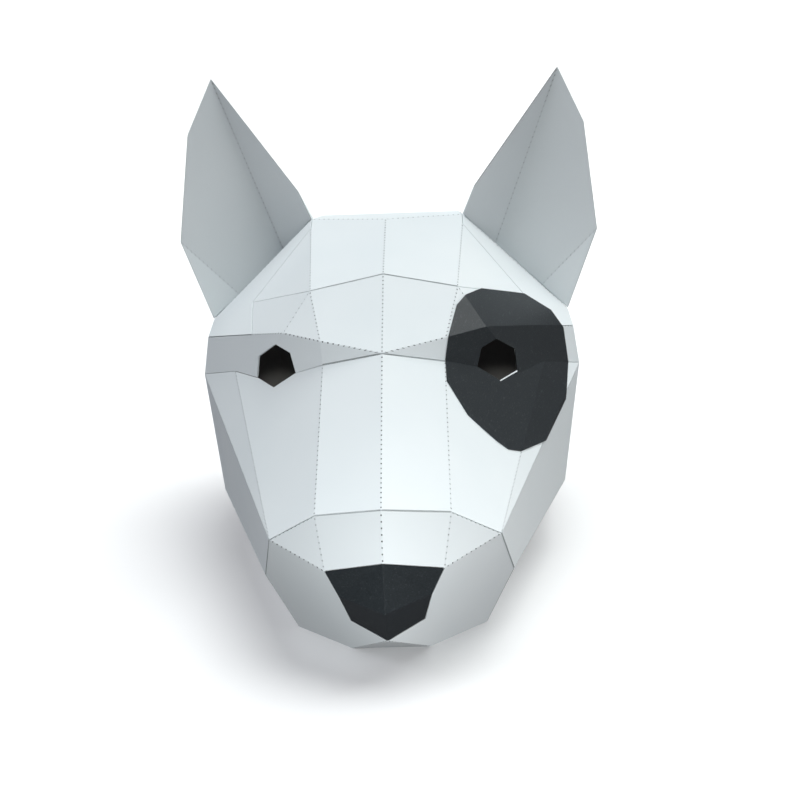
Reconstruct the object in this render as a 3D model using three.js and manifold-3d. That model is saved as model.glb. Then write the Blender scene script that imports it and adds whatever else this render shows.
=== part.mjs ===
// A bull terrier's head as a card mask: flat facets of thin white card, scored and folded, and
// glued edge to edge along seams into one hollow shell that a wearer's head enters from below.
// Millimetres, +Z up, the face towards -Y. The mask stands on its neck rim, and the origin is on
// the surface under the middle of the mask. Left and right are those of someone who looks at it.

import * as THREE from "three";
import { mergeVertices } from "three/addons/utils/BufferGeometryUtils.js";
import Module from "manifold-3d";

const wasm = await Module();
wasm.setup();

// Driving sizes, read with the muzzle level, as the mask is worn.
const headWidth = 230; // over the cheeks
const headHeight = 255; // from the chin to the top of the crown
const faceDepth = 215; // from the line of the ears forward to the muzzle's front
const backDepth = 125; // from the line of the ears back to the back of the head
const earSpan = 258; // over the outer edges of both ears
const earHeight = 91; // from the ear's inner root to its tip
const earDepth = 48; // how deep an ear's root sits on the head, front to back
const rimTiltDegrees = 21; // how far the neck rim rises towards the nape
const cardWall = 1; // a facet's card with the glue tabs behind it
const seamGap = 0.3; // between two panels, and between a panel and what is glued onto it
const patchWall = 0.8; // the black card of the eye patch

// Corners of the right half. Each table's columns are a corner's name and its shares of
// half the head's width (across), of the face's depth (forward) and of its height (up).
const CROWN = [
  ["crownMid", 0, 0.169, 0.977],
  ["crownSide", 0.404, 0.117, 0.963],
  ["earRootIn", 0.402, 0.069, 0.989],
  ["earRootOut", 0.95, 0.035, 0.756],
  ["foreheadMid", 0, 0.445, 0.835],
  ["foreheadSide", 0.375, 0.433, 0.802],
  ["templeTop", 0.712, 0.182, 0.789],
];
const BROW = [
  ["browMid", 0, 0.66, 0.65],
  ["browIn", 0.312, 0.583, 0.683],
  ["browPeak", 0.51, 0.478, 0.706],
  ["browOut", 0.698, 0.321, 0.71],
  ["browEnd", 0.973, 0.087, 0.713],
  ["bridgeSide", 0.304, 0.577, 0.63],
  ["cheekTop", 0.801, 0.252, 0.626],
  ["cheekEnd", 1, 0.077, 0.624],
];
const EYE = [
  ["eyeTop", 0.557, 0.446, 0.683],
  ["eyeIn", 0.476, 0.488, 0.661],
  ["eyeInLow", 0.45, 0.494, 0.615],
  ["eyeLow", 0.57, 0.449, 0.584],
  ["eyeOutLow", 0.67, 0.361, 0.609],
  ["eyeOut", 0.659, 0.363, 0.658],
];
const MUZZLE = [
  ["muzzleMid", 0, 0.985, 0.318],
  ["muzzleSide", 0.323, 0.899, 0.307],
  ["lipCorner", 0.557, 0.8, 0.254],
  ["noseTop", 0, 0.981, 0.204],
  ["noseSide", 0.282, 0.902, 0.188],
  ["noseWing", 0.22, 0.874, 0.132],
  ["noseTip", 0, 0.935, 0.095],
  ["noseLowSide", 0.177, 0.781, 0.073],
  ["noseLow", 0, 0.828, 0.031],
  ["jawBack", 0.905, 0.092, 0.344],
  ["jawCorner", 0.614, 0.6, 0.166],
];
// Behind the ears the forward shares are of the back's depth, and run backwards.
const BACK = [
  ["topMid", 0, 0.36, 1.015],
  ["topSide", 0.383, 0.36, 1.015],
  ["sideMid", 0.957, 0.4, 0.588],
  ["sideLow", 0.889, 0.4, 0.392],
  ["backTopMid", 0, 0.8, 0.894],
  ["backTopSide", 0.304, 0.688, 0.923],
  ["backCorner", 0.678, 0.768, 0.745],
  ["backMid", 0, 1, 0.686],
  ["backSide", 0.678, 0.784, 0.588],
  ["backLowMid", 0, 0.976, 0.51],
  ["backLowSide", 0.619, 0.768, 0.431],
];
// The neck rim is one plane, so its corners have no height of their own. Columns: name, across,
// forward as a share of the face's depth, backward as a share of the back's depth.
const RIM = [
  ["chinMid", 0, 0.627, 0],
  ["chinFront", 0.191, 0.627, 0],
  ["chinSide", 0.472, 0.498, 0],
  ["rimJaw", 0.626, 0.093, 0],
  ["rimSide", 0.687, 0, 0.4],
  ["rimBackSide", 0.483, 0, 0.776],
  ["rimBack", 0, 0, 0.928],
];
// An ear's edge above its roots: shares of half the ears' span, of the ear's depth (forward)
// and of its height above the inner root.
const EAR_EDGE = [
  ["earEdgeIn", 0.419, 0.318, 0.191],
  ["earTip", 0.836, 0, 1],
  ["earEdgeTop", 0.953, 0.085, 0.615],
  ["earEdgeOut", 1, 0.14, -0.117],
];
// Where an ear's folds stand on the head: shares of the way from its inner to its outer root
// (along) and of the ear's depth backwards from that line (behind).
const EAR_FOOT = [
  ["earRootIn", 0, 0],
  ["earFootIn", 0.32, 0.42],
  ["earFootOut", 0.76, 0.208],
  ["earRootOut", 1, 0],
  ["earHeelIn", 0.04, 1],
  ["earHeelOut", 0.86, 1],
];

// Facets of the right half, each a ring of corner names. The left half mirrors them.
const CROWN_FACETS = [
  ["crownMid", "crownSide", "earRootIn"],
  ["crownMid", "earRootIn", "topSide", "topMid"],
  ["crownMid", "crownSide", "foreheadSide", "foreheadMid"],
  ["crownSide", "foreheadSide", "templeTop"],
];
const FOREHEAD_FACETS = [
  ["foreheadMid", "foreheadSide", "browIn", "browMid"],
  ["foreheadSide", "browIn", "browPeak"],
  ["foreheadSide", "templeTop", "browOut", "browPeak"],
  ["browMid", "browIn", "bridgeSide"],
  ["browIn", "browPeak", "eyeTop", "eyeIn", "eyeInLow", "bridgeSide"],
  ["browPeak", "browOut", "browEnd", "cheekEnd", "cheekTop", "eyeOutLow", "eyeOut", "eyeTop"],
];
const MUZZLE_FACETS = [
  ["browMid", "bridgeSide", "muzzleSide", "muzzleMid"],
  ["bridgeSide", "eyeInLow", "eyeLow", "eyeOutLow", "cheekTop", "lipCorner", "muzzleSide"],
  ["cheekTop", "cheekEnd", "lipCorner"],
];
const FRONT_FACETS = [
  ["muzzleMid", "muzzleSide", "noseSide", "noseTop"],
  ["muzzleSide", "lipCorner", "noseSide"],
  ["lipCorner", "jawCorner", "chinSide", "chinFront", "noseLow", "noseLowSide", "noseWing", "noseSide"],
  ["noseLow", "chinFront", "chinMid"],
];
const NOSE_FACETS = [
  ["noseTop", "noseSide", "noseWing", "noseTip"],
  ["noseTip", "noseWing", "noseLowSide", "noseLow"],
];
const TEMPLE_FACETS = [
  ["earRootIn", "crownSide", "templeTop", "earRootOut"],
  ["templeTop", "browOut", "browEnd", "earRootOut"],
  ["earRootIn", "earRootOut", "topOut", "topSide"],
];
const CHEEK_FACETS = [
  ["cheekEnd", "jawBack", "jawCorner", "lipCorner"],
  ["jawBack", "rimJaw", "jawCorner"],
  ["jawCorner", "rimJaw", "chinSide"],
];
const SIDE_FACETS = [
  ["earRootOut", "browEnd", "sideMid", "topOut"],
  ["browEnd", "cheekEnd", "sideMid"],
  ["cheekEnd", "jawBack", "sideLow", "sideMid"],
  ["jawBack", "rimJaw", "rimSide", "sideLow"],
];
const BACK_FACETS = [
  ["topMid", "topSide", "backTopSide", "backTopMid"],
  ["topSide", "topOut", "backCorner", "backTopSide"],
  ["topOut", "sideMid", "backSide", "backCorner"],
  ["sideMid", "sideLow", "backLowSide", "backSide"],
  ["sideLow", "rimSide", "rimBackSide", "backLowSide"],
  ["backTopMid", "backTopSide", "backCorner", "backMid"],
  ["backMid", "backCorner", "backSide"],
  ["backMid", "backSide", "backLowMid"],
  ["backLowMid", "backSide", "backLowSide"],
  ["backLowMid", "backLowSide", "rimBackSide", "rimBack"],
];
const EAR_FRONT_FACETS = [
  ["earRootIn", "earEdgeIn", "earTip", "earFootIn"],
  ["earFootIn", "earTip", "earEdgeTop", "earEdgeOut", "earFootOut"],
  ["earFootOut", "earEdgeOut", "earRootOut"],
];
const EAR_BACK_FACETS = [
  ["earRootIn", "earHeelIn", "earEdgeIn"],
  ["earEdgeIn", "earHeelIn", "earTip"],
  ["earHeelIn", "earHeelOut", "earTip"],
  ["earHeelOut", "earEdgeTop", "earTip"],
  ["earHeelOut", "earEdgeOut", "earEdgeTop"],
  ["earHeelOut", "earRootOut", "earEdgeOut"],
];

// Corners of the patch's hand-cut outline as seen from the front, from the top inner corner round
// over the temple. Columns: shares of half the head's width and of its height.
const PATCH_OUTLINE = [
  [0.414, 0.782],
  [0.5, 0.8],
  [0.716, 0.789],
  [0.855, 0.75],
  [0.917, 0.707],
  [0.937, 0.626],
  [0.914, 0.537],
  [0.796, 0.444],
  [0.667, 0.424],
  [0.604, 0.43],
  [0.547, 0.45],
  [0.41, 0.509],
  [0.312, 0.586],
  [0.307, 0.633],
  [0.324, 0.684],
  [0.368, 0.758],
];

// The facets that the patch lies on.
const PATCH_FACETS = [
  ["foreheadSide", "browIn", "browPeak"],
  ["foreheadSide", "templeTop", "browOut", "browPeak"],
  ["foreheadMid", "foreheadSide", "browIn", "browMid"],
  ["templeTop", "browOut", "browEnd", "earRootOut"],
  ["browMid", "browIn", "bridgeSide"],
  ["browIn", "browPeak", "eyeTop", "eyeIn", "eyeInLow", "bridgeSide"],
  ["browPeak", "browOut", "browEnd", "cheekEnd", "cheekTop", "eyeOutLow", "eyeOut", "eyeTop"],
  ["browMid", "bridgeSide", "muzzleSide", "muzzleMid"],
  ["bridgeSide", "eyeInLow", "eyeLow", "eyeOutLow", "cheekTop", "lipCorner", "muzzleSide"],
  ["cheekTop", "cheekEnd", "lipCorner"],
  ["cheekEnd", "jawBack", "jawCorner", "lipCorner"],
];

// Places of the corners

const halfHead = headWidth / 2;
const rimTilt = THREE.MathUtils.degToRad(rimTiltDegrees);
const chinForward = RIM[0][2] * faceDepth;

function rimHeight(forward) {
  return (chinForward - forward) * Math.tan(rimTilt);
}

function headCorners() {
  const places = new Map();
  for (const [name, across, forward, up] of [...CROWN, ...BROW, ...EYE, ...MUZZLE])
    places.set(name, new THREE.Vector3(across * halfHead, -forward * faceDepth, up * headHeight));
  for (const [name, across, backward, up] of BACK)
    places.set(name, new THREE.Vector3(across * halfHead, backward * backDepth, up * headHeight));
  for (const [name, across, forward, backward] of RIM) {
    const reach = forward * faceDepth - backward * backDepth;
    places.set(name, new THREE.Vector3(across * halfHead, -reach, rimHeight(reach)));
  }
  return places;
}

const headPlaces = headCorners();
const rimNormal = new THREE.Vector3(0, Math.sin(rimTilt), -Math.cos(rimTilt));

// Each ear stands on the flat facet that starts at the line of its two roots and runs back.
const rootIn = headPlaces.get("earRootIn");
const rootLine = headPlaces.get("earRootOut").clone().sub(rootIn);
const footBack = headPlaces.get("topSide").clone().sub(rootIn);
const footNormal = new THREE.Vector3().crossVectors(footBack, rootLine).normalize();
const behindRoots = new THREE.Vector3().crossVectors(rootLine, footNormal).normalize();
if (behindRoots.y < 0) behindRoots.negate();
if (footNormal.z < 0) footNormal.negate();
headPlaces.set("topOut", rootIn.clone().add(rootLine).addScaledVector(behindRoots, footBack.length()));

function earCorners() {
  const places = new Map();
  const foot = (along, behind) =>
    rootIn
      .clone()
      .addScaledVector(rootLine, along)
      .addScaledVector(behindRoots, behind * earDepth)
      .addScaledVector(footNormal, seamGap);
  for (const [name, along, behind] of EAR_FOOT) places.set(name, foot(along, behind));
  for (const [name, across, forward, up] of EAR_EDGE)
    places.set(
      name,
      new THREE.Vector3((across * earSpan) / 2, -forward * earDepth, rootIn.z + up * earHeight),
    );
  return places;
}

const earPlaces = earCorners();

// Facets

// A facet is a ring of corners, counter-clockwise from outside. side is 1 for the right half and
// -1 for the left, and corners on the middle line belong to both.
function facet(ring, places, side, middle) {
  const corners = ring.map((name) => {
    const place = places.get(name);
    const key = place.x === 0 ? name : name + side;
    return { key, name, at: place.clone().setX(place.x * side) };
  });
  const normal = new THREE.Vector3();
  corners.forEach(({ at }, i) => {
    normal.add(new THREE.Vector3().crossVectors(at, corners[(i + 1) % corners.length].at));
  });
  normal.normalize();
  if (normal.dot(corners[0].at.clone().sub(middle)) < 0) {
    normal.negate();
    corners.reverse();
  }
  return { corners, normal };
}

function facets(rings, places, sides, middle) {
  return sides.flatMap((side) => rings.map((ring) => facet(ring, places, side, middle)));
}

// The edges of a group of facets that no other facet of the group shares.
function openEdges(group) {
  const edges = group.flatMap(({ corners, normal }) =>
    corners.map((from, i) => ({ from, to: corners[(i + 1) % corners.length], normal })),
  );
  const taken = new Set(edges.map(({ from, to }) => from.key + ">" + to.key));
  return edges.filter(({ from, to }) => !taken.has(to.key + ">" + from.key));
}

// The step that goes as far along each row's direction as its reach says, or nearest to it.
const DAMPING = 1e-6;

function stepAlong(rows) {
  const sums = new Array(9).fill(0);
  const aim = new THREE.Vector3();
  for (const { direction, reach } of rows) {
    const parts = direction.toArray();
    parts.forEach((a, i) => parts.forEach((b, j) => (sums[3 * i + j] += a * b)));
    aim.addScaledVector(direction, reach);
  }
  for (const i of [0, 4, 8]) sums[i] += DAMPING;
  return aim.applyMatrix3(new THREE.Matrix3().fromArray(sums).invert());
}

// How strongly a corner is held to the flat surface that it stands on.
const FLAT_WEIGHT = 30;

// For each corner of a shell, the step that lifts every facet there by one millimetre. Corners
// that stand on a flat surface stay on it: flat gives that surface's normal, or nothing.
function liftSteps(group, flat) {
  const rows = new Map();
  for (const { corners, normal } of group)
    for (const { key, name } of corners) {
      if (!rows.has(key)) rows.set(key, flatRows(flat(name)));
      rows.get(key).push({ direction: normal, reach: 1 });
    }
  return new Map([...rows].map(([key, list]) => [key, stepAlong(list)]));
}

function flatRows(normal) {
  return normal ? [{ direction: normal.clone().multiplyScalar(FLAT_WEIGHT), reach: 0 }] : [];
}

// How far each corner of a panel draws back from its neighbours, half a seam's gap each.
function drawBacks(panel, shell) {
  const free = new Set(openEdges(shell).map(({ from, to }) => from.key + ">" + to.key));
  const rows = new Map();
  const addRow = (key, direction, reach) => {
    if (!rows.has(key)) rows.set(key, []);
    rows.get(key).push({ direction, reach });
  };
  for (const { corners, normal } of panel) for (const { key } of corners) addRow(key, normal, 0);
  for (const { from, to, normal } of openEdges(panel)) {
    const outward = to.at.clone().sub(from.at).normalize().cross(normal);
    const reach = free.has(from.key + ">" + to.key) ? 0 : -seamGap / 2;
    addRow(from.key, outward, reach);
    addRow(to.key, outward, reach);
  }
  return new Map([...rows].map(([key, list]) => [key, stepAlong(list)]));
}

// Panels

// A bent card: the panel's facets as one closed solid from inner to outer, in millimetres along
// the facets' normals, mitred at the folds and the seams.
function bentCard(panel, lifts, inner, outer, back) {
  const keys = [...new Set(panel.flatMap(({ corners }) => corners.map(({ key }) => key)))];
  const places = new Map(panel.flatMap(({ corners }) => corners.map(({ key, at }) => [key, at])));
  const layer = (reach) =>
    keys.flatMap((key) => {
      const at = places.get(key).clone().addScaledVector(lifts.get(key), reach);
      if (back) at.add(back.get(key));
      return at.toArray();
    });
  const index = [];
  const outside = (key) => keys.indexOf(key);
  const inside = (key) => keys.indexOf(key) + keys.length;
  for (const { corners, normal } of panel)
    for (const triangle of triangles(corners, normal)) {
      const [a, b, c] = triangle.map((i) => corners[i].key);
      index.push(outside(a), outside(b), outside(c), inside(c), inside(b), inside(a));
    }
  // A wall may be twisted, so both panels at a seam cut it along the same diagonal.
  for (const { from, to } of openEdges(panel)) {
    const [a, b] = [from.key, to.key];
    if (a < b) index.push(outside(b), outside(a), inside(b), outside(a), inside(a), inside(b));
    else index.push(outside(b), outside(a), inside(a), outside(b), inside(a), inside(b));
  }
  return new THREE.BufferGeometry()
    .setAttribute("position", new THREE.Float32BufferAttribute([...layer(outer), ...layer(inner)], 3))
    .setIndex(index);
}

// A facet's ring cut into triangles, in the ring's own turning direction.
function triangles(corners, normal) {
  const turn = new THREE.Quaternion().setFromUnitVectors(normal, new THREE.Vector3(0, 0, 1));
  const flat = corners.map(({ at }) => at.clone().applyQuaternion(turn));
  return THREE.ShapeUtils.triangulateShape(
    flat.map(({ x, y }) => new THREE.Vector2(x, y)),
    [],
  );
}

function solidOf(geometry) {
  return new wasm.Manifold(
    new wasm.Mesh({
      numProp: 3,
      vertProperties: new Float32Array(geometry.getAttribute("position").array),
      triVerts: new Uint32Array(geometry.index.array),
    }),
  );
}

function geometryOf(solid) {
  const { vertProperties, triVerts } = solid.getMesh();
  return new THREE.BufferGeometry()
    .setAttribute("position", new THREE.Float32BufferAttribute(vertProperties, 3))
    .setIndex([...triVerts]);
}

// The head

const BOTH = [-1, 1];
const SIDES = { left: [-1], right: [1] };
const headMiddle = new THREE.Vector3(0, (backDepth - faceDepth) / 2, headHeight / 2);

const headPanels = new Map([
  ["crown_panel", facets(CROWN_FACETS, headPlaces, BOTH, headMiddle)],
  ["forehead_panel", facets(FOREHEAD_FACETS, headPlaces, BOTH, headMiddle)],
  ["muzzle_panel", facets(MUZZLE_FACETS, headPlaces, BOTH, headMiddle)],
  ["muzzle_front", facets(FRONT_FACETS, headPlaces, BOTH, headMiddle)],
  ["nose", facets(NOSE_FACETS, headPlaces, BOTH, headMiddle)],
  ["head_back", facets(BACK_FACETS, headPlaces, BOTH, headMiddle)],
]);
for (const [name, sides] of Object.entries(SIDES)) {
  headPanels.set("temple_" + name, facets(TEMPLE_FACETS, headPlaces, sides, headMiddle));
  headPanels.set("cheek_" + name, facets(CHEEK_FACETS, headPlaces, sides, headMiddle));
  headPanels.set("head_side_" + name, facets(SIDE_FACETS, headPlaces, sides, headMiddle));
}
const headShell = [...headPanels.values()].flat();
const rimNames = new Set(RIM.map(([name]) => name));
const headLifts = liftSteps(headShell, (name) => (rimNames.has(name) ? rimNormal : null));

// The eye patch lies over the right eye, and its outline is cut square to the front.
function eyePatch() {
  const cover = facets(PATCH_FACETS, headPlaces, SIDES.right, headMiddle);
  const sheet = solidOf(bentCard(cover, headLifts, seamGap, seamGap + patchWall));
  const outline = new THREE.Shape(
    PATCH_OUTLINE.map(([across, up]) => new THREE.Vector2(across * halfHead, up * headHeight)),
  );
  const cutter = new THREE.ExtrudeGeometry(outline, { depth: faceDepth, bevelEnabled: false });
  cutter.rotateX(Math.PI / 2);
  return geometryOf(sheet.intersect(solidOf(welded(cutter))));
}

// The same geometry with its shared corners merged, so that it is one closed surface.
function welded(geometry) {
  geometry.deleteAttribute("normal");
  geometry.deleteAttribute("uv");
  return mergeVertices(geometry);
}

// The ears

// A place inside an ear, behind its hollow front or before its back.
function middleOf(names, side) {
  const sum = new THREE.Vector3();
  for (const name of names) sum.addScaledVector(earPlaces.get(name), 1 / names.length);
  return sum.setX(sum.x * side);
}

function earPanels(name, sides) {
  const behindFront = middleOf(["earHeelIn", "earHeelOut"], sides[0]);
  const beforeBack = middleOf(["earFootIn", "earFootOut", "earTip"], sides[0]);
  const front = facets(EAR_FRONT_FACETS, earPlaces, sides, behindFront);
  const rear = facets(EAR_BACK_FACETS, earPlaces, sides, beforeBack);
  const shell = [...front, ...rear];
  const foot = footNormal.clone();
  foot.x *= sides[0];
  const footNames = new Set(EAR_FOOT.map(([corner]) => corner));
  const lifts = liftSteps(shell, (corner) => (footNames.has(corner) ? foot : null));
  return [
    ["ear_front_" + name, front, shell, lifts],
    ["ear_back_" + name, rear, shell, lifts],
  ];
}

// The finished mask

const whiteCard = () => new THREE.MeshStandardMaterial({ color: 0xe9f1f3, roughness: 0.9, metalness: 0 });
const blackCard = () => new THREE.MeshStandardMaterial({ color: 0x2e3234, roughness: 0.8, metalness: 0 });

function panelMesh(name, geometry, material) {
  geometry.computeVertexNormals();
  const mesh = new THREE.Mesh(geometry, material);
  mesh.name = name;
  return mesh;
}

const worn = new THREE.Group();
for (const [name, panel] of headPanels) {
  const card = bentCard(panel, headLifts, -cardWall, 0, drawBacks(panel, headShell));
  worn.add(panelMesh(name, card, name === "nose" ? blackCard() : whiteCard()));
}
worn.add(panelMesh("eye_patch", eyePatch(), blackCard()));
for (const [side, sides] of Object.entries(SIDES))
  for (const [name, panel, shell, lifts] of earPanels(side, sides)) {
    const card = bentCard(panel, lifts, -cardWall, 0, drawBacks(panel, shell));
    worn.add(panelMesh(name, card, whiteCard()));
  }

// Set down, the mask leans back until its neck rim lies flat.
worn.rotation.x = -rimTilt;
const box = new THREE.Box3().setFromObject(worn, true);
worn.position.set(0, -(box.min.y + box.max.y) / 2, -chinForward * Math.sin(rimTilt));

const mask = new THREE.Group();
mask.add(worn);

export default mask;
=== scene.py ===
# %% [markdown]
# # A bull terrier's head folded from card
# The object is a hollow mask of thin white card. Each panel is scored along dotted lines, bent into flat
# facets and glued to its neighbours along seams. The nose and the patch round one eye are black card.
# The solids of the panels come from the CAD model, which fixes every corner and fold. This script gives
# each panel the look of real card: bent folds with their punched dots, paper grain and cut edges.

# %% Load the CAD model as the fixed frame
import math
import random

import bmesh
import bpy
from mathutils import Matrix, Vector
from mathutils.bvhtree import BVHTree


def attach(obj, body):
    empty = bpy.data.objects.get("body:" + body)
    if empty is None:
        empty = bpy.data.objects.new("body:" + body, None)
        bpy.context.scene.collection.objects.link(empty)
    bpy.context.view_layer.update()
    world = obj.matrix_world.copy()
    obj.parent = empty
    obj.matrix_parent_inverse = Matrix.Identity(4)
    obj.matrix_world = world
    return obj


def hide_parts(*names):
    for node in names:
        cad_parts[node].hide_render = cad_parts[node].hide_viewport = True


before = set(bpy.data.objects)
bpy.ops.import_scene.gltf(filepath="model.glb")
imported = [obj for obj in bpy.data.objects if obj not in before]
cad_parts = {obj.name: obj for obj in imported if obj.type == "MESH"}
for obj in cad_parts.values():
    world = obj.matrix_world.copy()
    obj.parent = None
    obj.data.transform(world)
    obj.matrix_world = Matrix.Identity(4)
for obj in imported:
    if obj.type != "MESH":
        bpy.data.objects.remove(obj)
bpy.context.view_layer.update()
MM = 0.001

# %% [markdown]
# ## The camera
# The photo looks level at a mask whose face is upright. Set down by itself, the mask leans back until its
# neck rim lies flat, so everything that the photo fixes is first placed for the upright mask and then tipped
# back with it. A matrix does that tipping. A camera could also be aimed by a Track To constraint, but a
# product of plain turns keeps the small roll of the photo too.

# %% Camera
LEAN = math.radians(21)
CHIN_DROP = 48.3 * MM
worn_to_rest = Matrix.Translation((0, 0, -CHIN_DROP)) @ Matrix.Rotation(-LEAN, 4, "X")

VIEW_DISTANCE = 1.5
FRAME_WIDTH = 0.496  # what the picture spans at the line of the ears
VIEW_TURN = math.radians(2.15)
VIEW_ROLL = math.radians(-1.75)
AIM = Vector((4, 0, 139.3)) * MM

camera_data = bpy.data.cameras.new("camera")
camera_data.sensor_width = 36
camera_data.lens = camera_data.sensor_width * VIEW_DISTANCE / FRAME_WIDTH
camera = bpy.data.objects.new("camera", camera_data)
bpy.context.scene.collection.objects.link(camera)
camera.matrix_world = (
    worn_to_rest
    @ Matrix.Translation(AIM)
    @ Matrix.Rotation(VIEW_TURN, 4, "Z")
    @ Matrix.Rotation(math.radians(90), 4, "X")
    @ Matrix.Rotation(VIEW_ROLL, 4, "Z")
    @ Matrix.Translation((0, 0, VIEW_DISTANCE))
)
bpy.context.scene.camera = camera
place = [round(v, 3) for v in camera.matrix_world.translation]
print("camera at", place, "lens", round(camera_data.lens, 1))

# %% [markdown]
# ## The floor
# A plain pale floor takes the mask's soft shadow. In the photo the mask has nothing below it, so the floor is
# hidden from diffuse and glossy rays and throws no light up onto the jaw. A shadow catcher would do that too,
# but a real plane also shows from behind and from the side. The lamps that stand close to the face would draw
# a bright spot on it, so the floor is put in a collection that light linking keeps out of their light.

# %% Floor
FLOOR_SIZE = 40.0


def new_object(name, shape):
    mesh = bpy.data.meshes.new(name)
    shape.to_mesh(mesh)
    shape.free()
    made = bpy.data.objects.new(name, mesh)
    bpy.context.scene.collection.objects.link(made)
    return made


floor_shape = bmesh.new()
bmesh.ops.create_grid(floor_shape, x_segments=1, y_segments=1, size=FLOOR_SIZE / 2)
floor = new_object("floor", floor_shape)
floor.visible_diffuse = False
floor.visible_glossy = False

not_lit_close = bpy.data.collections.new("not_lit_close")
not_lit_close.objects.link(floor)
not_lit_close.collection_objects[0].light_linking.link_state = "EXCLUDE"
print("floor", tuple(round(side, 1) for side in floor.dimensions), "m")

# %% [markdown]
# ## The light
# Soft studio light: a broad light stands over the mask, a little to the right, and weaker ones fill the left,
# the right and the right behind. They are Sun lamps with a wide angle, as they light everything evenly. Two
# Area lamps stand low and close to the face. Their light falls off quickly, which is why the ears, farthest
# from them, are much greyer than the muzzle. Only the light over the mask may glint on the black card.

# %% Lamps from afar and close by
WHITE_CARD_REFLECTS = 0.82
EVEN_LIGHT = math.pi / WHITE_CARD_REFLECTS  # irradiance at which white card facing the light looks pure white


def lamp(kind, name, energy, direction, colour):
    """A lamp that stands in a direction from the upright mask and shines back along it."""
    data = bpy.data.lights.new(name, kind)
    data.energy = energy
    data.color = colour
    made = bpy.data.objects.new(name, data)
    made.rotation_mode = "QUATERNION"
    made.rotation_quaternion = (worn_to_rest.to_3x3() @ direction).to_track_quat("Z", "Y")
    made.visible_camera = False
    made.visible_glossy = False
    bpy.context.scene.collection.objects.link(made)
    return made


def broad_light(name, share, direction, width_degrees, colour):
    """A Sun lamp; share is how white it alone makes card that faces it."""
    made = lamp("SUN", name, share * EVEN_LIGHT, direction, colour)
    made.data.angle = math.radians(width_degrees)
    return made


def close_light(name, share, place, size, colour):
    """An Area lamp, which is set by its power, so its distance counts too."""
    direction = place - AIM
    power = share * EVEN_LIGHT * math.pi * direction.length_squared
    made = lamp("AREA", name, power, direction, colour)
    made.location = worn_to_rest @ place
    made.data.size = size
    made.light_linking.receiver_collection = not_lit_close


CLEAR = (0.98, 1.01, 1.01)
COOL = (0.965, 0.99, 1.045)
WARM = (1.01, 1.01, 0.97)
ROSY = (1.04, 0.98, 0.99)
over = broad_light("over", 0.675, Vector((0.25, -0.12, 0.94)), 50, CLEAR)
over.visible_glossy = True
broad_light("left", 0.30, Vector((-0.84, -0.12, 0.52)), 60, COOL)
broad_light("right", 0.11, Vector((0.93, -0.25, -0.05)), 50, COOL)
broad_light("right and behind", 0.46, Vector((0.85, 0.45, 0.10)), 50, WARM)
close_light("front", 0.285, Vector((0.0, -0.42, -0.05)), 0.25, CLEAR)
close_light("low right", 0.17, Vector((0.30, -0.50, -0.25)), 0.4, ROSY)
print("lamps outside the mask:", len(bpy.data.lights))

# %% [markdown]
# ## Light inside the mask
# Through the eye holes the photo shows the back of the head from inside, black above and grey below, where
# light falls in through the neck. Here the floor closes the neck, so a Spot lamp for each eye stands in for
# that light. Its cone ends behind the eye hole, and its blend makes the soft edge between grey and black.

# %% Inner lamps and surroundings
INNER_PLACE = Vector((0, -20, 130)) * MM
INNER_POWER = 0.13
INNER_CONE = math.radians(36)
INNER_BLEND = 0.5
INNER_SIZE = 2 * MM
SURROUND_COLOUR = (1.0, 0.97, 1.03, 1)
SURROUND_STRENGTH = 0.09


def inner_light(name, target):
    made = lamp("SPOT", name, INNER_POWER, INNER_PLACE - target, WARM)
    made.location = worn_to_rest @ INNER_PLACE
    made.data.spot_size = INNER_CONE
    made.data.spot_blend = INNER_BLEND
    made.data.shadow_soft_size = INNER_SIZE


inner_light("through the neck, left", Vector((-80, 92, 121)) * MM)
inner_light("through the neck, right", Vector((65.5, 100.5, 119)) * MM)

world = bpy.data.worlds.new("studio")
bpy.context.scene.world = world
world.use_nodes = True
surround = world.node_tree.nodes["Background"]
surround.inputs["Color"].default_value = SURROUND_COLOUR
surround.inputs["Strength"].default_value = SURROUND_STRENGTH
bpy.context.scene.view_settings.view_transform = "Standard"
print("lamps in all:", len(bpy.data.lights))

# %% [markdown]
# ## Helpers for materials
# Every material is a small graph of nodes. These helpers add a node, join two sockets and lay out a group,
# so that the graphs below read like the recipe of a finish.

# %% Node helpers


def add(tree, kind, **settings):
    node = tree.nodes.new(kind)
    for name, value in settings.items():
        if hasattr(node, name):
            setattr(node, name, value)
        else:
            node.inputs[name.replace("_", " ").title()].default_value = value
    return node


def join(tree, source, target):
    tree.links.new(source, target)


def group(name, inputs, outputs):
    """A new shader group: inputs are (name, default) floats, outputs are names of floats."""
    tree = bpy.data.node_groups.new(name, "ShaderNodeTree")
    for label, default in inputs:
        socket = tree.interface.new_socket(label, in_out="INPUT", socket_type="NodeSocketFloat")
        socket.default_value = default
    for label in outputs:
        tree.interface.new_socket(label, in_out="OUTPUT", socket_type="NodeSocketFloat")
    return tree, tree.nodes.new("NodeGroupInput"), tree.nodes.new("NodeGroupOutput")


# %% [markdown]
# ## Paper grain
# Card is a felt of short fibres. Close up it has a fine tooth, some longer fibres that catch the light, and
# broad clouds where the pulp lies thicker. One group makes all three from noise, and both cards use it with
# their own values. It could be an image, but noise on Object coordinates needs no unwrapping and
# carries on over a fold as it does on a real sheet.

# %% Paper grain group


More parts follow.
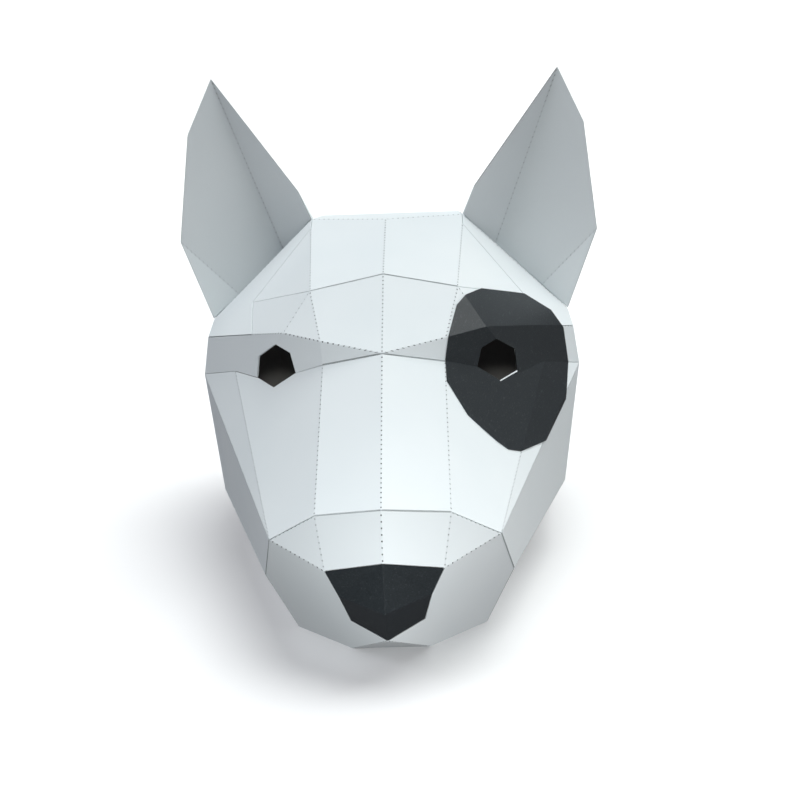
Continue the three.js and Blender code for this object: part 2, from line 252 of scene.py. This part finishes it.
def paper_grain():
    tree, given, out = group(
        "paper_grain",
        [("Tooth Size", 0.7), ("Fibre Length", 4.0)],
        ["Tooth", "Fibres", "Clouds"],
    )
    place = add(tree, "ShaderNodeTexCoord").outputs["Object"]
    per_metre = 1 / MM

    tooth_scale = add(tree, "ShaderNodeMath", operation="DIVIDE")
    tooth_scale.inputs[0].default_value = per_metre
    join(tree, given.outputs["Tooth Size"], tooth_scale.inputs[1])
    tooth = add(tree, "ShaderNodeTexNoise", detail=3.0, roughness=0.6)
    join(tree, place, tooth.inputs["Vector"])
    join(tree, tooth_scale.outputs[0], tooth.inputs["Scale"])
    join(tree, tooth.outputs["Fac"], out.inputs["Tooth"])

    bend = add(tree, "ShaderNodeTexNoise", scale=90.0, detail=2.0)
    join(tree, place, bend.inputs["Vector"])
    stretch = add(tree, "ShaderNodeMapping")
    stretch.inputs["Rotation"].default_value = (0.4, 0.7, 0.5)
    stretch.inputs["Scale"].default_value = (1.0, 0.16, 1.0)
    join(tree, place, stretch.inputs["Vector"])
    fibre_scale = add(tree, "ShaderNodeMath", operation="DIVIDE")
    fibre_scale.inputs[0].default_value = 4 * per_metre
    join(tree, given.outputs["Fibre Length"], fibre_scale.inputs[1])
    fibres = add(tree, "ShaderNodeTexNoise", detail=1.0, distortion=0.6)
    join(tree, stretch.outputs["Vector"], fibres.inputs["Vector"])
    join(tree, fibre_scale.outputs[0], fibres.inputs["Scale"])
    thin = add(tree, "ShaderNodeMapRange")
    thin.inputs["From Min"].default_value = 0.62
    thin.inputs["From Max"].default_value = 0.74
    join(tree, fibres.outputs["Fac"], thin.inputs["Value"])
    join(tree, thin.outputs["Result"], out.inputs["Fibres"])

    clouds = add(tree, "ShaderNodeTexNoise", scale=14.0, detail=2.0, roughness=0.5)
    join(tree, place, clouds.inputs["Vector"])
    join(tree, clouds.outputs["Fac"], out.inputs["Clouds"])
    return tree


GRAIN = paper_grain()
print("grain outputs:", [item.name for item in GRAIN.interface.items_tree if item.in_out == "OUTPUT"])

# %% [markdown]
# ## The two cards
# Both are uncoated card: matt, with a soft tooth. The white one is a cool white that greys a little where the
# card is scored. Shade is painted into it down in the punched dots and in the grooves at its seams, more in
# some places than in others, and its back, which lines the hollow, is painted a dark grey shade. The black one
# is a
# blue-black with paler fibres showing at the surface. Four attributes of the mesh's faces say where what shows:
# one for the dots, "scored" for the folds, "seam" for the grooves and "inside" for the back. Painting them by
# hand would do the same, but the faces are known when the folds are made.

# %% Card materials


def mixed(tree, factor, low, high):
    """A colour that runs from low to high with the factor socket; low may be a colour or a socket."""
    mix = add(tree, "ShaderNodeMix", data_type="RGBA")
    join(tree, factor, mix.inputs["Factor"])
    for socket, value in ((mix.inputs["A"], low), (mix.inputs["B"], high)):
        if isinstance(value, tuple):
            socket.default_value = (*value, 1)
        else:
            join(tree, value, socket)
    return mix.outputs["Result"]


def ranged(tree, value, low, high, from_low=0.0, from_high=1.0):
    span = add(tree, "ShaderNodeMapRange")
    ends = {"From Min": from_low, "From Max": from_high, "To Min": low, "To Max": high}
    for label, number in ends.items():
        span.inputs[label].default_value = number
    join(tree, value, span.inputs["Value"])
    return span.outputs["Result"]


def card(name, tooth_size, fibre_length, relief):
    """A new card material with the grain group in it; returns the material, its tree, shader and grain."""
    material = bpy.data.materials.new(name)
    material.use_nodes = True
    tree = material.node_tree
    shader = tree.nodes["Principled BSDF"]
    grain = add(tree, "ShaderNodeGroup", node_tree=GRAIN)
    grain.inputs["Tooth Size"].default_value = tooth_size
    grain.inputs["Fibre Length"].default_value = fibre_length
    bump = add(tree, "ShaderNodeBump", strength=relief)
    bump.inputs["Distance"].default_value = 0.1 * MM
    join(tree, grain.outputs["Tooth"], bump.inputs["Height"])
    join(tree, bump.outputs["Normal"], shader.inputs["Normal"])
    return material, tree, shader, grain


def white_card():
    material, tree, shader, grain = card("white_card", tooth_size=0.7, fibre_length=4.0, relief=0.25)
    clouded = ranged(tree, grain.outputs["Clouds"], 0, 1, 0.35, 0.65)
    base = mixed(tree, clouded, (0.775, 0.83, 0.845), (0.80, 0.85, 0.862))
    scored = add(tree, "ShaderNodeAttribute", attribute_name="scored")
    creased = mixed(tree, ranged(tree, scored.outputs["Fac"], 0, 0.3), base, (0.66, 0.70, 0.72))
    punched_shade = add(tree, "ShaderNodeAttribute", attribute_name="punched_shade")
    # Painted shade: the dots are near black, standing in for the shade down in the punched holes.
    dotted = mixed(tree, punched_shade.outputs["Fac"], creased, (0.05, 0.055, 0.06))
    seam = add(tree, "ShaderNodeAttribute", attribute_name="seam")
    # Painted shade in the seams' grooves, patchier where the cloud noise is low.
    patchy_seam_shade = ranged(tree, grain.outputs["Clouds"], 0.25, 1.0, 0.35, 0.6)
    darkness = add(tree, "ShaderNodeMath", operation="MULTIPLY")
    join(tree, seam.outputs["Fac"], darkness.inputs[0])
    join(tree, patchy_seam_shade, darkness.inputs[1])
    # The groove strips are darkened towards near black: painted shade.
    pressed_and_shaded = mixed(tree, darkness.outputs[0], dotted, (0.06, 0.065, 0.07))
    # Painted shade: the back of the card, inside the hollow, is dark grey.
    inside = add(tree, "ShaderNodeAttribute", attribute_name="inside")
    back_in_painted_shade = mixed(tree, inside.outputs["Fac"], pressed_and_shaded, (0.245, 0.243, 0.238))
    join(tree, back_in_painted_shade, shader.inputs["Base Color"])
    join(tree, ranged(tree, grain.outputs["Tooth"], 0.78, 0.92, 0.3, 0.7), shader.inputs["Roughness"])
    shader.inputs["Specular IOR Level"].default_value = 0.3
    return material


def black_card():
    material, tree, shader, grain = card("black_card", tooth_size=0.6, fibre_length=3.0, relief=0.8)
    mottled = ranged(tree, grain.outputs["Tooth"], 0, 1, 0.35, 0.7)
    base = mixed(tree, mottled, (0.015, 0.019, 0.0215), (0.031, 0.039, 0.044))
    flecked = mixed(tree, ranged(tree, grain.outputs["Fibres"], 0, 0.4), base, (0.11, 0.125, 0.13))
    join(tree, flecked, shader.inputs["Base Color"])
    join(tree, ranged(tree, grain.outputs["Tooth"], 0.30, 0.44, 0.3, 0.7), shader.inputs["Roughness"])
    shader.inputs["Specular IOR Level"].default_value = 0.62
    return material


WHITE = white_card()
BLACK = black_card()
print("nodes in white card:", len(WHITE.node_tree.nodes), "in black card:", len(BLACK.node_tree.nodes))

# %% [markdown]
# ## The floor's finish
# The photo's ground is pure white. A matt white floor comes close, and a faint glow of its own takes it there
# without a brighter lamp, which would burn out the card.

# %% Floor material
floor_material = bpy.data.materials.new("floor")
floor_material.use_nodes = True
floor_shader = floor_material.node_tree.nodes["Principled BSDF"]
floor_shader.inputs["Base Color"].default_value = (0.95, 0.95, 0.95, 1)
floor_shader.inputs["Roughness"].default_value = 0.9
floor_shader.inputs["Emission Color"].default_value = (1, 1, 1, 1)
floor_shader.inputs["Emission Strength"].default_value = 0.12
floor.data.materials.append(floor_material)
print("floor glow:", round(floor_shader.inputs["Emission Strength"].default_value, 2))

# %% [markdown]
# ## From a CAD solid to whole facets
# A CAD panel arrives as loose triangles. They are welded and joined back into whole facets: edges are taken
# from the flattest up, and the facets on both sides join when one plane fits all their corners. A limit on the
# angle alone wouldn't do, because some facets are slightly twisted, and a thin triangle in one is tilted a lot.
# The limit is 1 mm, the thickness of the card, as with more a cut edge could join the outside. A few kinds of
# sheet have facets with more twist and get a limit of their own.

# %% Whole facets
WELD = 0.01 * MM
TWIST_MOST = 1.0 * MM
PATCH_TWIST_MOST = 0.4 * MM
TWISTED_MOST = {"temple": 2.2 * MM, "head": 2.2 * MM, "nose": 2.2 * MM, "front": 3.6 * MM}
SURE_FOLD = math.radians(40)
SLIVER_SIDE = 3 * MM
SLIVER_HEIGHT = 2 * MM
BROAD_LEAST = 0.8 * MM  # area over perimeter, which for a cut edge is half the card's thickness
HOLLOW = worn_to_rest @ (Vector((0, -45, 127.5)) * MM)
UPRIGHT = worn_to_rest.to_3x3().inverted()


def twist(faces):
    """How far the corners of some faces stray from the plane that fits them by area."""
    normal = sum((face.normal * face.calc_area() for face in faces), Vector()).normalized()
    heights = [vert.co.dot(normal) for face in faces for vert in face.verts]
    return max(heights) - min(heights)


def is_sliver(face):
    """True for a triangle so thin that its tilt means nothing; a cut edge's triangles have one short side."""
    sides = [edge.calc_length() for edge in face.edges]
    return min(sides) > SLIVER_SIDE and 2 * face.calc_area() / max(sides) < SLIVER_HEIGHT


def facet_groups(panel, twist_most):
    group_of = {face: [face] for face in panel.faces}
    for edge in sorted(panel.edges, key=lambda edge: edge.calc_face_angle()):
        first, second = (group_of[face] for face in edge.link_faces)
        gentle = edge.calc_face_angle() < SURE_FOLD or any(is_sliver(face) for face in edge.link_faces)
        if gentle and first is not second and twist(first + second) < twist_most:
            first.extend(second)
            group_of.update({face: first for face in second})
    return {id(group): group for group in group_of.values()}.values()


def whole_facets(node, mirrored_from=None, twist_most=TWIST_MOST):
    """A copy of a CAD panel in whole facets, with face attributes for the card's marks and for where shade is
    painted.
    """
    panel = bmesh.new()
    panel.from_mesh(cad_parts[node].data)
    for mark in ("punched_shade", "scored", "seam", "inside"):
        panel.faces.layers.float.new(mark)
    bmesh.ops.remove_doubles(panel, verts=panel.verts, dist=WELD)
    if mirrored_from:
        everything = [*panel.verts, *panel.edges, *panel.faces]
        bmesh.ops.symmetrize(panel, input=everything, direction=mirrored_from, dist=WELD)
    for group in facet_groups(panel, twist_most):
        if len(group) > 1:
            bmesh.ops.dissolve_faces(panel, faces=group)
    return panel


def is_broad(face):
    """True for the outside and the inside of the card, but not for a cut edge."""
    return face.calc_area() / face.calc_perimeter() > BROAD_LEAST


def faces_out(face, hollow):
    """True for a broad face that looks away from the hollow."""
    return is_broad(face) and face.normal.dot(face.calc_center_median() - hollow) > 0


print("corners of the forehead's facets:", len(whole_facets("forehead_panel").verts))


# %% [markdown]
# ## Folds and seams
# A fold is an edge between two outer facets. A seam is an outer edge with another sheet right beside it. A real
# fold is a narrow bent strip, and the edges of glued sheets are pressed down a little, so both kinds of edge
# are bevelled in one go, which keeps the corners where they meet closed. The strip that took
# the place of each edge is found again by its two long sides, which run close beside the old edge.
# In the photo most seams are dark grooves, and the shade down in them is painted into the strip that the
# bevel makes beside each. At the sides of the head some are scored with dots and some hardly show, and these
# last are left plain.

# %% Find folds and seams


def search_tree(node):
    corners = [vert.co for vert in node.data.vertices]
    return BVHTree.FromPolygons(corners, [face.vertices for face in node.data.polygons])


SHEETS = {name: search_tree(node) for name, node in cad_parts.items() if name != "eye_patch"}
SEAM_REACH = 0.7 * MM
FOLD_WIDTH = 0.42 * MM
SOFT_BEND, SHARP_BEND = math.radians(8), math.radians(45)
SIDE_FROM = 40 * MM
DOTTED_SEAMS = [{"forehead", "temple"}, {"front", "muzzle"}]
DOTTED_SHEETS = ("forehead", "front")
FAINT_SEAMS = [{"forehead", "muzzle"}, {"forehead", "crown"}, {"muzzle", "cheek"}]
# The shade down in each groove is painted into the card's colour; each value is its strength.
PAINTED_SEAM_SHADE = {  # how dark the groove beside each kind of sheet shows in the photo
    "crown": 0.5,
    "forehead": 0.65,
    "muzzle": 0.5,
    "front": 0.6,
    "temple": 0.1,
    "cheek": 0.6,
    "head": 0.2,
    "ear": 0.2,
    "nose": 0.9,
}


def mark_inside(panel, hollow):
    """Marks the broad faces that look into the hollow, the bare back of the card, which gets a painted dark
    grey shade.
    """
    inside = panel.faces.layers.float["inside"]
    for face in panel.faces:
        if is_broad(face) and not faces_out(face, hollow):
            face[inside] = 1.0


def outer_folds(panel, hollow):
    outer = {face for face in panel.faces if faces_out(face, hollow)}
    return [edge for edge in panel.edges if all(face in outer for face in edge.link_faces)]


def outer_seams(panel, hollow, own):
    """The outer edges that lie beside another sheet, each with that sheet's name."""
    outer = {face for face in panel.faces if faces_out(face, hollow)}
    rim = [edge for edge in panel.edges if sum(face in outer for face in edge.link_faces) == 1]
    beside = [(edge, sheet_beside(edge, own)) for edge in rim]
    return [(edge, other) for edge, other in beside if other]


def kind_of(sheet):
    """The sheet's name without its side: crown, forehead, muzzle, front, temple, cheek, head, ear or nose."""
    return "front" if sheet == "muzzle_front" else sheet.split("_")[0]


def sheet_beside(edge, own):
    start, end = (vert.co for vert in edge.verts)
    spots = (start.lerp(end, 0.3), start.lerp(end, 0.7))
    for name, sheet in SHEETS.items():
        if name != own and all(sheet.find_nearest(spot, SEAM_REACH)[0] for spot in spots):
            return name
    return None


def ends_of(edge):
    return tuple(vert.co.copy() for vert in edge.verts)


def long_sides(quad):
    return sorted(quad.edges, key=lambda edge: edge.calc_length())[2:]


def off_line(point, start, end):
    along = (end - start).normalized()
    return ((point - start) - (point - start).dot(along) * along).length


def strip_on(line, quads):
    """The quad whose two longest sides both run close beside the line."""
    start, end = line
    for quad in quads:
        corners = [vert.co for rail in long_sides(quad) for vert in rail.verts]
        middle = sum(corners, Vector()) / 4
        on_line = (middle - (start + end) / 2).length < 0.3 * (end - start).length
        if on_line and max(off_line(corner, start, end) for corner in corners) < 2.5 * FOLD_WIDTH:
            return quad
    return None


def seam_style(seam, own, other):
    """How a seam shows in the photo: most are grooves, but at the sides some are dotted and some are plain."""
    start, end = (UPRIGHT @ vert.co for vert in seam.verts)
    level = abs((end - start).normalized().x) > 0.5
    pair = {kind_of(own), kind_of(other)}
    if abs(start.x + end.x) / 2 < SIDE_FROM:
        return "groove"
    if level and pair in DOTTED_SEAMS:
        return "dotted" if kind_of(own) in DOTTED_SHEETS else "plain"
    return "plain" if pair in FAINT_SEAMS else "groove"


def bend(panel, folds, seams=(), own="", width=FOLD_WIDTH):
    """Bevels folds and seams, marks the grooves for painted shade and returns the strips to punch with their
    angles.
    """
    fold_lines = [(ends_of(fold), fold.calc_face_angle()) for fold in folds]
    pressed_and_shaded = []
    seam_lines = []
    for seam, other in seams:
        style = seam_style(seam, own, other)
        if style != "plain":
            pressed_and_shaded.append(seam)
            # The painted shade in the groove takes the weaker value of the two sheets.
            darkness = min(PAINTED_SEAM_SHADE[kind_of(sheet)] for sheet in (own, other))
            seam_lines.append((ends_of(seam), style, darkness))
    made = bmesh.ops.bevel(
        panel,
        geom=[*folds, *pressed_and_shaded],
        offset=width,
        offset_type="OFFSET",
        segments=1,
        profile=0.5,
        affect="EDGES",
        clamp_overlap=False,
        material=-1,
    )
    quads = [face for face in made["faces"] if len(face.verts) == 4]
    strips = [(strip_on(ends, quads), angle) for ends, angle in fold_lines]
    for ends, style, darkness in seam_lines:
        strip = strip_on(ends, quads)
        if style == "dotted":
            strips.append((strip, SHARP_BEND))
        elif strip:
            # This strip is painted with the groove's shade.
            strip[panel.faces.layers.float["seam"]] = darkness
    return [(strip, angle) for strip, angle in strips if strip]


print("sheets that may lie beside a seam:", len(SHEETS))

# %% [markdown]
# ## Punching the folds
# The score that guides each bend is a row of punched dots, which open as the card is bent. The shade down in
# each dot is painted into the card's colour, darker the sharper the fold. The strip is cut across into short
# lengths, and every fourth one is inset and pushed in. The dots could be a texture, but real pits catch the
# light and follow the fold exactly.

# %% Punch
DOT_PITCH = 3.3 * MM
LENGTHS_PER_DOT = 4
DOT_RIM = 0.06 * MM
DOT_DEPTH = 0.3 * MM
PLAIN_FOLD_MOST = 15 * MM  # the shortest folds are bent without a score
dice = random.Random(7)


# strength scales the shade painted into the dots.
def punch(panel, strips, strength):
    """Cuts a row of dots into each strip and marks strips and dots in two face attributes."""
    punched_shade = panel.faces.layers.float["punched_shade"]
    scored = panel.faces.layers.float["scored"]
    dots = []
    for strip, angle in strips:
        rails = long_sides(strip)
        along = rails[0].verts[1].co - rails[0].verts[0].co
        if along.length < PLAIN_FOLD_MOST:
            continue
        count = round(along.length / DOT_PITCH)
        cut = bmesh.ops.subdivide_edges(panel, edges=rails, cuts=LENGTHS_PER_DOT * count - 1)
        across = [item for item in cut["geom_inner"] if isinstance(item, bmesh.types.BMEdge)]
        lengths = {face for edge in across for face in edge.link_faces if len(face.verts) == 4}
        lengths = sorted(lengths, key=lambda face: face.calc_center_median().dot(along))
        sharpness = min(1, max(0, (angle - SOFT_BEND) / (SHARP_BEND - SOFT_BEND)))
        for number, face in enumerate(lengths):
            face[scored] = 1.0
            if number % LENGTHS_PER_DOT == 1:
                # The dot's mark is how much shade is painted into it, more for sharper folds.
                face[punched_shade] = min(1, strength * (0.5 + 0.6 * sharpness) * dice.uniform(0.65, 1.1))
                dots.append(face)
    bmesh.ops.inset_individual(panel, faces=dots, thickness=DOT_RIM, depth=-DOT_DEPTH, use_even_offset=True)
    return len(dots)


def finish_card(panel, name, material, slot, *nodes):
    """Makes the panel an object that stands for its CAD nodes, each facet shaded as one plane."""
    for face in panel.faces:
        face.smooth = True
    for edge in panel.edges:
        edge.smooth = False
    piece = new_object(name, panel)
    piece.data.materials.append(material)
    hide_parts(*nodes)
    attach(piece, "root")
    return piece


print("pitch of the dots:", round(DOT_PITCH / MM, 1), "mm")

# %% [markdown]
# ## The white panels of the head
# Crown, forehead, muzzle, the front of the muzzle, temples, cheeks, the sides and the back are each one sheet.
# They all go through the same steps, as they would on a cutting table.

# %% Head panels
HEAD_PANELS = [
    "crown_panel",
    "forehead_panel",
    "muzzle_panel",
    "muzzle_front",
    "head_back",
    *[part + side for part in ("temple_", "cheek_", "head_side_") for side in ("left", "right")],
]


def white_panel(node, hollow, strength):
    panel = whole_facets(node, twist_most=TWISTED_MOST.get(kind_of(node), TWIST_MOST))
    mark_inside(panel, hollow)
    folds = outer_folds(panel, hollow)
    seams = outer_seams(panel, hollow, node)
    counts = (len(folds), len(seams))
    strips = bend(panel, folds, seams, node)
    dots = punch(panel, strips, strength)
    finish_card(panel, node + "_card", WHITE, "white_card", node)
    print(node, "folds and seams", counts, "strips", len(strips), "dots", dots)


for node in HEAD_PANELS:
    white_panel(node, HOLLOW, strength=0.9)

# %% [markdown]
# ## The ears
# Each ear is a dished front and a pointed back, glued along the rim. The dish is so deep that no single
# point lies behind all its facets, so outside and inside are told apart from a point far behind the front, or
# far before the back. Their scores are fainter than the head's, with less shade painted into their dots.

# %% Ears
FAR = 1.0


def ear_hollow(part, side):
    points = [vert.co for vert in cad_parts[part + side].data.vertices]
    behind = UPRIGHT.inverted() @ Vector((0, FAR, 0))
    return sum(points, Vector()) / len(points) + (behind if part == "ear_front_" else -behind)


for side in ("left", "right"):
    for part in ("ear_front_", "ear_back_"):
        white_panel(part + side, ear_hollow(part, side), strength=0.22)

# %% [markdown]
# ## The nose
# One small sheet of black card with crossing folds. Its score doesn't show, so the folds are only bent. Its
# upper facets are slightly twisted, and the CAD model cuts them along different diagonals left and right, so
# one half is mirrored over the other to crease both sides alike.

# %% Nose
NOSE_FOLD_WIDTH = 0.15 * MM
nose = whole_facets("nose", mirrored_from="-X", twist_most=TWISTED_MOST["nose"])
nose_folds = outer_folds(nose, HOLLOW)
bend(nose, nose_folds, width=NOSE_FOLD_WIDTH)
print("nose folds", len(nose_folds))
finish_card(nose, "nose_card", BLACK, "black_card", "nose")

# %% [markdown]
# ## The eye patch
# A patch of black card lies flat on the folds round one eye. The CAD solid stands a little off the card below
# it, so only its underside is kept, let down onto the white card and given the thickness of real card by a
# Solidify modifier.

# %% Eye patch
PATCH_DROP = 0.2 * MM
PATCH_WALL = 0.4 * MM
EYE_MIDDLE = worn_to_rest @ (Vector((64.8, -93.2, 161.9)) * MM)
EYE_REACH = 22 * MM
HOLE_TIGHTNESS = 0.93
LOW_CORNERS = [  # corners of the hole's lower outer side, upright, and how far each is cut back
    (Vector((65.5, -96.5, 148.9)), Vector((0.6, 0.3, -1.5))),
    (Vector((77.1, -77.6, 155.3)), Vector((-0.2, -0.2, -1.9))),
]

patch = whole_facets("eye_patch", twist_most=PATCH_TWIST_MOST)
under = {face for face in patch.faces if is_broad(face) and not faces_out(face, HOLLOW)}
bmesh.ops.delete(patch, geom=[face for face in patch.faces if face not in under], context="FACES")
bmesh.ops.reverse_faces(patch, faces=patch.faces)
patch.normal_update()
for vert in patch.verts:
    vert.co -= vert.normal * vert.calc_shell_factor() * PATCH_DROP
print("patch facets", len(patch.faces))

# The hole in the patch is cut a little tight, except along its lower outer side, where white card shows.
rim = [vert for vert in patch.verts if vert.is_boundary and (vert.co - EYE_MIDDLE).length < EYE_REACH]
for vert in rim:
    vert.co = EYE_MIDDLE.lerp(vert.co, HOLE_TIGHTNESS)
for corner, cut_back in LOW_CORNERS:
    place = worn_to_rest @ (corner * MM)
    nearest = min(rim, key=lambda vert: (vert.co - place).length)
    nearest.co += UPRIGHT.inverted() @ (cut_back * MM)
print("patch hole corners", len(rim))
patch_piece = finish_card(patch, "eye_patch_card", BLACK, "black_card", "eye_patch")
wall = patch_piece.modifiers.new("wall", "SOLIDIFY")
wall.thickness = PATCH_WALL
wall.offset = 1
wall.use_even_offset = True
